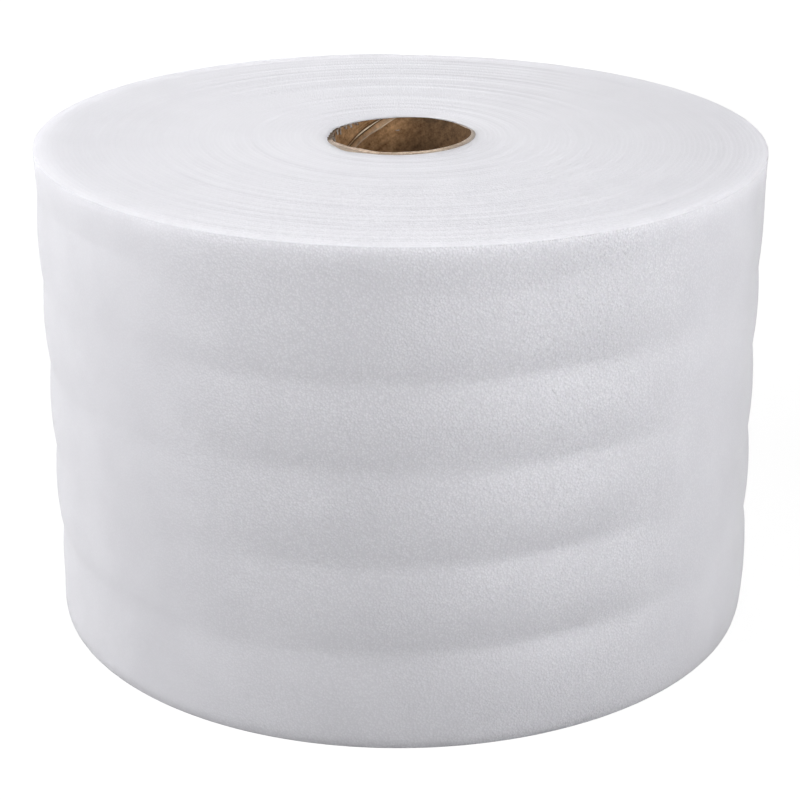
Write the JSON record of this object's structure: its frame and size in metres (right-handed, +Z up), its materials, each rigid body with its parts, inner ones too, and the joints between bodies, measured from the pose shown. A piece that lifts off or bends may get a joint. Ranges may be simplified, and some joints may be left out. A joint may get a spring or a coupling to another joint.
{
  "type": "foam wrap roll",
  "caption": "Roll of thin white foam wrap wound on a cardboard tube, standing on its end.",
  "frame": {"origin": "on the tube's axis, at the plane of the bottom end face, which is the surface the roll stands on", "axes": "+Z up along the tube's axis; -Y towards the viewer of the picture; +Y at the back, where the sheet's outer end lies"},
  "size_m": [0.4546, 0.4564, 0.3062],
  "materials": {
    "foam": "matte",
    "core_board": "matte"
  },
  "bodies": {
    "root": {"foam_roll": "foam", "core_tube": "core_board"}
  },
  "joints": []
}
